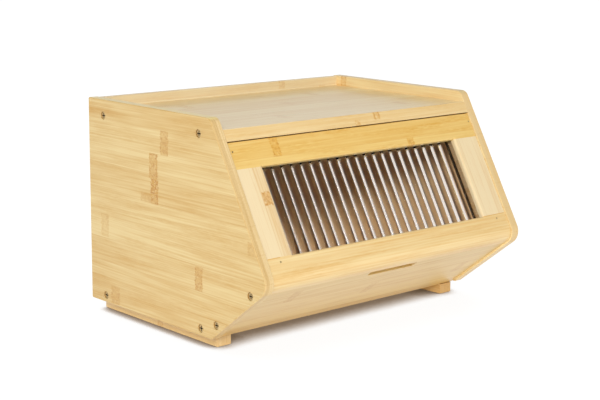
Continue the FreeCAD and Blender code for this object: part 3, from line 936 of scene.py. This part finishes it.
@dataclass
class Case:
    """Fixed boards of the box."""

    sizes: CaseSizes = field(default_factory=CaseSizes)

    def side_finish(self, side: float) -> BambooFinish:
        """Side panel: level strips, with two plies that show at its edges.

        Args:
            side: -1 for the left panel, 1 for the right one.

        Returns:
            The finish.
        """
        sizes = self.sizes
        top = sizes.panel_height
        middle = side * (sizes.width - sizes.side_thickness) / 2 * MM
        origin = sizes.place(0.0, top) + Vector((middle, 0.0, 0.0))
        marks = (
            NodeMark(-122.0, -30.5, 11.2, 0.80, 5.6),
            NodeMark(-105.0, -53.5, 11.6, 1.0, 6.0),
            NodeMark(-106.5, -72.5, 7.0, 1.9, 5.4),
            NodeMark(-106.5, -84.5, 4.6, 1.1, 5.4),
            NodeMark(-94.0, -84.5, 4.4, 0.45, 9.0),
            NodeMark(-25.0, -122.5, 11.2, 0.38, 6.0),
            NodeMark(-172.5, -147.5, 11.2, 0.85, 5.2),
            NodeMark(-40.5, -190.0, 8.8, 0.60, 6.8),
            NodeMark(-247.0, -107.0, 6.0, 0.50, 6.0),
        ) if side < 0 else ()
        bands = (
            ToneBand(-18.8, 2.0, 0.02),
            ToneBand(-41.5, -18.8, 0.16, -205.0, -128.0),
            ToneBand(-89.0, -65.0, 0.10, -175.0, -112.0, soft_along=22.0),
            ToneBand(-86.5, -81.0, 0.30, -104.0, -88.0, 2.0, 8.0),
            ToneBand(-113.5, -89.5, -0.10),
            ToneBand(-135.0, -113.5, -0.22, -150.0, 20.0, soft_along=30.0),
            ToneBand(-158.5, -136.0, -0.16, -250.0, -60.0, soft_along=30.0),
            ToneBand(-201.0, -180.5, 0.16),
        ) if side < 0 else ()
        return BambooFinish(
            name="bamboo_side_left" if side < 0 else "bamboo_side_right",
            origin=origin,
            grain=Axis.Y,
            across=Axis.Z,
            strip_width=23.3,
            strip_shift=-18.5,
            ply=sizes.side_thickness / 2,
            seed=3.0 if side < 0 else 14.0,
            marks=marks,
            bands=bands,
            mark_period=0.0 if side < 0 else 260.0,
            pale=(0.755, 0.585, 0.28) if side < 0 else (0.92, 0.74, 0.40),
            deep=(0.58, 0.34, 0.09) if side < 0 else (0.78, 0.49, 0.17),
            # The right panel's sawn ends are painted deeper than the left panel's: painted shade on its
            # edges.
            end_pale=(0.90, 0.70, 0.38) if side < 0 else (0.82, 0.63, 0.34),
            # The left panel's upper edge is made paler: painted light on its top face.
            crown_light_pale=(1.0, 0.80, 0.36) if side < 0 else None,
            figure=1.35,
            base=0.42 if side < 0 else 0.26,
        )

    def dress(self) -> None:
        """Give every fixed board its finish."""
        sizes = self.sizes
        dress(self.side_finish(-1.0).build(), "side_panel_left")
        dress(self.side_finish(1.0).build(), "side_panel_right")
        tray = BambooFinish(
            name="bamboo_top_board", origin=sizes.place(0.0, sizes.panel_height - sizes.tray_depth),
            grain=Axis.X, across=Axis.Y, strip_shift=4.0, ply=sizes.board_thickness / 2, seed=7.0,
            gloss=0.30, figure=0.8, pale=(0.95, 0.77, 0.44), deep=(0.78, 0.50, 0.18),
            marks=(NodeMark(-89.5, -52.0, 11.0, 0.45, 5.0), NodeMark(7.5, -94.0, 11.0, 0.35, 5.0),
                   NodeMark(77.5, -50.0, 11.0, 0.35, 5.0), NodeMark(-61.5, -163.0, 11.0, 0.35, 5.0),
                   NodeMark(99.5, -162.0, 11.0, 0.40, 5.0), NodeMark(29.5, -196.4, 2.2, 1.0, 4.0),
                   NodeMark(2.5, -199.8, 2.0, 0.8, 3.4)),
            bands=(ToneBand(-206.0, -194.0, 0.24),))
        dress(tray.build(), "top_board")
        back = BambooFinish(
            name="bamboo_back_panel", origin=sizes.place(0.0, 0.0), grain=Axis.X,
            across=Axis.Z, strip_shift=7.0, seed=11.0, mark_period=260.0,
            base=0.24, pale=(0.94, 0.81, 0.53), deep=(0.80, 0.56, 0.26))
        dress(back.build(), "back_panel")
        bottom = BambooFinish(
            name="bamboo_bottom_board", origin=sizes.place(0.0, -sizes.bottom_drop),
            grain=Axis.X, across=Axis.Y, seed=17.0, mark_period=280.0)
        dress(bottom.build(), "bottom_board")
        panel = BambooFinish(
            name="bamboo_lower_panel", origin=sizes.place(sizes.nose_depth, sizes.nose_height),
            turn=sizes.undercut_turn, grain=Axis.X, across=Axis.Y, strip_shift=-24.0,
            seed=23.0, gloss=0.34, figure=1.1, base=0.26,
            pale=(0.79, 0.575, 0.235), deep=(0.60, 0.33, 0.075),
            marks=(NodeMark(-113.0, -36.0, 11.4, 0.40, 5.0), NodeMark(1.0, -60.0, 11.4, 0.30, 5.0),
                   NodeMark(130.0, -60.0, 11.4, 0.30, 5.0)))
        dress(panel.build(), "lower_front_panel")
        # The right foot's rail is painted deeper than the left one, as painted shade.
        for node, base in (("foot_rail_left", 0.40), ("foot_rail_right", 0.80)):
            foot = BambooFinish(
                name=f"bamboo_{node}", origin=sizes.place(0.0, 0.0), grain=Axis.Y, across=Axis.Z,
                strip_width=30.0, seed=29.0, base=base, mark_period=230.0,
                pale=(0.84, 0.64, 0.33), deep=(0.62, 0.35, 0.10), end_pale=(0.82, 0.62, 0.33))
            dress(foot.build(), node)


@dataclass
class Door:
    """Top-hung door: frame, pane, beads and their small parts."""

    sizes: CaseSizes = field(default_factory=CaseSizes)

    def finish(self, name: str, grain: Axis = Axis.X, across: Axis = Axis.Y,
               **changes: object) -> BambooFinish:
        """Finish of a piece of the door, in the slope's own frame.

        Args:
            name: The material's name.
            grain: Axis that the fibres follow.
            across: Axis across the strips.
            **changes: Fields that differ from plain bamboo.

        Returns:
            The finish.
        """
        sizes = self.sizes
        return BambooFinish(name=name, origin=sizes.place(sizes.top_depth, sizes.panel_height),
                            turn=sizes.slope_turn, grain=grain, across=across, **changes)

    def dress(self) -> None:
        """Give every piece of the door its finish."""
        top = self.finish("bamboo_top_rail", strip_width=18.0, strip_shift=-42.2, seed=31.0,
                          base=0.50, ripple=1.3, pale=(0.90, 0.65, 0.24), deep=(0.77, 0.44, 0.085),
                          bands=(ToneBand(-60.0, -42.2, -0.22),),
                          marks=(NodeMark(-105.5, -33.0, 9.4, 0.9, 4.6),
                                 NodeMark(64.0, -46.6, 4.8, 0.9, 4.4)))
        dress(top.build(), "door_top_rail")
        bottom = self.finish("bamboo_bottom_rail", strip_width=24.0, strip_shift=-132.6,
                             seed=37.0, base=0.38, figure=1.2, pale=(0.93, 0.73, 0.38),
                             deep=(0.78, 0.47, 0.15),
                             bands=(ToneBand(-133.4, -131.0, 0.9, -156.0, -142.0, 0.25, 1.0),
                                    ToneBand(-133.4, -131.0, 0.9, 125.0, 156.0, 0.25, 1.0)))
        dress(bottom.build(), "door_bottom_rail")
        # The stiles' band from 100 to 123.3 mm deepens the right stile's edge beside the pane: painted
        # shade in the window's reveal.
        stiles = self.finish("bamboo_stiles", Axis.Y, Axis.X, strip_width=18.0, strip_shift=-139.5,
                             seed=41.0, base=0.08, figure=0.9, pale=(0.90, 0.73, 0.45),
                             bands=(ToneBand(-139.5, -125.0, 0.36), ToneBand(100.0, 123.3, 1.1)),
                             marks=(NodeMark(-79.0, -134.0, 4.6, 0.95, 6.0),))
        dress(stiles.build(), "door_stile_left", "door_stile_right")
        beads = self.finish("bamboo_beads", strip_width=20.0, seed=43.0, base=0.45)
        dress(beads.build(), "glazing_bead_top", "glazing_bead_bottom", "glazing_bead_left",
              "glazing_bead_right")
        dowels = self.finish("turned_dowels", strip_width=60.0, seed=47.0,
                             pale=(0.70, 0.52, 0.31), deep=(0.56, 0.38, 0.20))
        dress(dowels.build(), "door_dowels")
        dress(ClearFinish().build(), "window_pane")
        pins = MetalFinish("ground_steel_pins", (0.62, 0.62, 0.63), (0.5, 0.5, 0.5))
        dress(pins.build(), "hinge_pin_left", "hinge_pin_right")
        brads = MetalFinish("plain_steel_brads", (0.62, 0.46, 0.28), (0.48, 0.33, 0.18), 0.55)
        dress(brads.build(), "door_brads", "bead_brads")


@dataclass
class Fasteners:
    """Screws of the case.

    Attributes:
        plating: Colour of the plating.
        tarnish: Colour of its darker patches.
        side_face: Distance of the side screws' heads from the middle, in millimetres.
    """

    plating: Colour = (0.64, 0.47, 0.23)
    tarnish: Colour = (0.32, 0.19, 0.075)
    side_face: float = 166.6

    def dress(self) -> None:
        """Give the screws their plating."""
        plating = MetalFinish("zinc_plated_screws", self.plating, self.tarnish,
                              recess_axis=Axis.X, face_level=self.side_face)
        dress(plating.build(), "top_board_screws", "bottom_board_screws", "front_panel_screws")
        back = MetalFinish("zinc_plated_back_screws", self.plating, self.tarnish,
                           recess_axis=Axis.Y, face_level=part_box("back_panel_screws")[1].y / MM)
        dress(back.build(), "back_panel_screws")
        feet = MetalFinish("zinc_plated_foot_screws", self.plating, self.tarnish)
        dress(feet.build(), "foot_screws")


@dataclass(frozen=True)
class Softbox:
    """Square area lamp that faces the box.

    Lengths are in metres.

    Attributes:
        name: The lamp's name.
        place: Its place.
        size: Its side.
        power: Its power, in watts.
        tint: Its colour.
        target_height: Height of the point that it faces.
    """

    name: str
    place: tuple[float, float, float]
    size: float
    power: float
    tint: Colour = WHITE
    target_height: float = 0.1

    def hang(self) -> None:
        """Add the lamp to the scene."""
        data = bpy.data.lights.new(self.name, "AREA")
        data.size = self.size
        data.energy = self.power
        data.color = self.tint
        lamp = bpy.data.objects.new(self.name, data)
        lamp.visible_glossy = False
        lamp.location = self.place
        towards = Vector((0.0, 0.0, self.target_height)) - Vector(self.place)
        lamp.rotation_euler = towards.to_track_quat("-Z", "Y").to_euler()
        bpy.context.scene.collection.objects.link(lamp)


@dataclass
class Studio:
    """Pale floor, soft light and the camera.

    Lengths are in metres where nothing else is said.

    Attributes:
        eye: The camera's place.
        yaw: Turn of its view from +Y towards +X, in degrees.
        pitch: Turn of its view below the level, in degrees.
        roll: Turn about its view, in degrees.
        focal_px: Focal length, in pixels of the image's width.
        image_width: Width of the image, in pixels.
        sensor_mm: Width of the camera's sensor, in millimetres.
        nearest: Where the camera starts to see.
        table_glow: Glow of the floor towards the box.
        sky_strength: Light of the surroundings.
        ceiling_strength: Brightness of the ceiling in gloss.
        ceiling_through: Brightness of the ceiling inside clear pieces.
        backdrop_through: Colour of the backdrop inside clear pieces.
        through_span: Heights between which the ceiling dims inside clear pieces, as sines.
        behind_span: Parts of the world towards the back between which gloss sees more white.
        ceiling_front: Heights between which the ceiling dims in gloss, as sines.
        ceiling_behind: The same heights, towards the back.
        contact_reach: How far the box's own contact shadow reaches.
        contact_span: Openness of the floor from the darkest of that shadow to its edge.
        contact_left: Share of the white that the darkest part keeps.
        shadow_reach: How far its fainter shadow reaches.
        shadow_span: Openness of the floor from the darkest of the fainter shadow to its edge.
        shadow_left: Share of the white that the darkest part keeps.
        shadow_samples: Samples of both shadows.
        clear_span: Distances from the middle between which all shadow ends.
        floor_corners: Corners of the floor's edge.
        floor_radius: Radius of the floor.
        floor_roughness: Roughness of the floor.
        floor_specular: Strength of its shine.
        floor_colour: Colour of the floor.
        seen_colour: Colour that the floor adds to its own glow where it is seen.
        contact_shadow_tint: Tint of the painted contact shadow close under the box.
        lamps: The lamps.
    """

    eye: tuple[float, float, float] = (-0.91674, -1.00569, 0.37984)
    yaw: float = 42.047
    pitch: float = 11.255
    roll: float = 0.539
    focal_px: float = 1400.0
    image_width: float = 600.0
    sensor_mm: float = 36.0
    nearest: float = 0.01
    table_glow: float = 0.27
    sky_strength: float = 0.46
    ceiling_strength: float = 0.05
    ceiling_through: float = 0.22
    backdrop_through: Colour = (0.92, 0.85, 0.77)
    through_span: Span = (0.40, 0.54)
    behind_span: Span = (0.35, 0.60)
    ceiling_front: Span = (0.03, 0.20)
    ceiling_behind: Span = (0.20, 0.45)
    contact_reach: float = 0.026
    contact_span: Span = (0.06, 0.50)
    contact_left: float = 0.10
    shadow_reach: float = 0.09
    shadow_span: Span = (0.30, 0.92)
    shadow_left: float = 0.92
    shadow_samples: int = 16
    clear_span: Span = (0.22, 0.50)
    floor_corners: int = 96
    floor_radius: float = 9.0
    floor_roughness: float = 0.9
    floor_specular: float = 0.1
    floor_colour: Colour = (0.82, 0.82, 0.82)
    seen_colour: Colour = (0.08, 0.08, 0.08)
    contact_shadow_tint: Colour = (0.78, 0.50, 0.28)
    lamps: tuple[Softbox, ...] = (
        Softbox("key_softbox", (-2.76, -2.49, 1.83), 1.1, 110.0, (1.0, 0.99, 0.97)),
    )

    def add_camera(self) -> None:
        """Place the camera and make it the scene's own."""
        yaw, pitch, roll = (math.radians(value) for value in (self.yaw, self.pitch, self.roll))
        ahead = Vector((math.sin(yaw) * math.cos(pitch), math.cos(yaw) * math.cos(pitch),
                        -math.sin(pitch)))
        right = Vector((math.cos(yaw), -math.sin(yaw), 0.0))
        above = right.cross(ahead)
        tilted_right = right * math.cos(roll) + above * math.sin(roll)
        tilted_above = above * math.cos(roll) - right * math.sin(roll)
        data = bpy.data.cameras.new("studio_camera")
        data.sensor_width = self.sensor_mm
        data.lens = self.focal_px / self.image_width * self.sensor_mm
        data.clip_start = self.nearest
        camera = bpy.data.objects.new("studio_camera", data)
        turn = Matrix((tilted_right, tilted_above, -ahead)).transposed().to_4x4()
        camera.matrix_world = Matrix.Translation(self.eye) @ turn
        bpy.context.scene.collection.objects.link(camera)
        bpy.context.scene.camera = camera

    def add_floor(self) -> None:
        """Pale floor that shows white and keeps the box's shadow."""
        bpy.ops.mesh.primitive_circle_add(vertices=self.floor_corners, radius=self.floor_radius,
                                          fill_type="NGON")
        floor = bpy.context.active_object
        floor.name = "studio_floor"
        graph = MaterialGraph("pale_floor")
        path = graph.node("ShaderNodeLightPath")
        seen = graph.math("MAXIMUM", path.outputs["Is Camera Ray"],
                          graph.math("MAXIMUM", path.outputs["Is Glossy Ray"],
                                     path.outputs["Is Transmission Ray"]))
        # Painted shadow: where the box closes in the floor's surroundings, the seen floor's glow dims and
        # turns brown.
        close = graph.span(self.openness(graph, self.contact_reach), *self.contact_span)
        around = graph.span(self.openness(graph, self.shadow_reach), *self.shadow_span)
        open_floor = graph.scaled(graph.mix_value(close, self.contact_left, 1.0),
                                  graph.mix_value(around, self.shadow_left, 1.0))
        east, north, _ = graph.split(graph.node("ShaderNodeTexCoord").outputs["Object"])
        reach = graph.math("SQRT", graph.math("ADD", graph.scaled(east, east),
                                              graph.scaled(north, north)))
        backdrop = graph.math("MAXIMUM", graph.span(reach, *self.clear_span), open_floor)
        shaded = graph.scaled(seen, graph.math("SUBTRACT", 1.0, close))
        graph.set_shader({
            "Base Color": graph.mix(seen, self.floor_colour, self.seen_colour),
            "Roughness": self.floor_roughness,
            "Specular IOR Level": self.floor_specular,
            "Emission Color": graph.mix(shaded, WHITE, self.contact_shadow_tint),
            "Emission Strength": graph.mix_value(seen, self.table_glow, backdrop),
        })
        floor.data.materials.append(graph.material)

    def openness(self, graph: Graph, distance: float) -> Socket:
        """Share of a point's surroundings that is free within a distance in metres."""
        values = {"Distance": distance}
        return graph.node("ShaderNodeAmbientOcclusion", named=values,
                          samples=self.shadow_samples).outputs["AO"]

    def add_world(self) -> None:
        """Pale surroundings: white round the horizon, with a dim ceiling in gloss and glass."""
        world = bpy.data.worlds.new("pale_surroundings")
        world.use_nodes = True
        bpy.context.scene.world = world
        graph = Graph(world.node_tree)
        background = graph.tree.nodes["Background"]
        path = graph.node("ShaderNodeLightPath")
        through_clear = path.outputs["Is Transmission Ray"]
        _, back, height = graph.split(graph.node("ShaderNodeTexCoord").outputs["Generated"])

        through = graph.mix_value(graph.span(height, *self.through_span), 1.0, self.ceiling_through)
        behind = graph.span(back, *self.behind_span)
        edges = (graph.mix_value(behind, front, rear)
                 for front, rear in zip(self.ceiling_front, self.ceiling_behind))
        ceiling = graph.mix_value(graph.span(height, *edges), 1.0, self.ceiling_strength)
        indoors = graph.mix_value(path.outputs["Is Glossy Ray"], self.sky_strength, ceiling)
        beyond = graph.mix_value(through_clear, indoors, through)
        graph.feed(background.inputs["Strength"],
                   graph.mix_value(path.outputs["Is Camera Ray"], beyond, 1.0))
        graph.feed(background.inputs["Color"],
                   graph.mix(through_clear, WHITE, self.backdrop_through))

    def build(self) -> None:
        """Set up everything round the box."""
        self.add_world()
        self.add_floor()
        for lamp in self.lamps:
            lamp.hang()
        bpy.context.scene.view_settings.view_transform = "Standard"
        self.add_camera()


def main() -> None:
    """Build and dress the whole box and its studio."""
    logging.basicConfig(level=logging.INFO, format="%(message)s")
    Studio().build()
    Case().dress()
    Door().dress()
    Fasteners().dress()


if __name__ == "__main__":
    main()
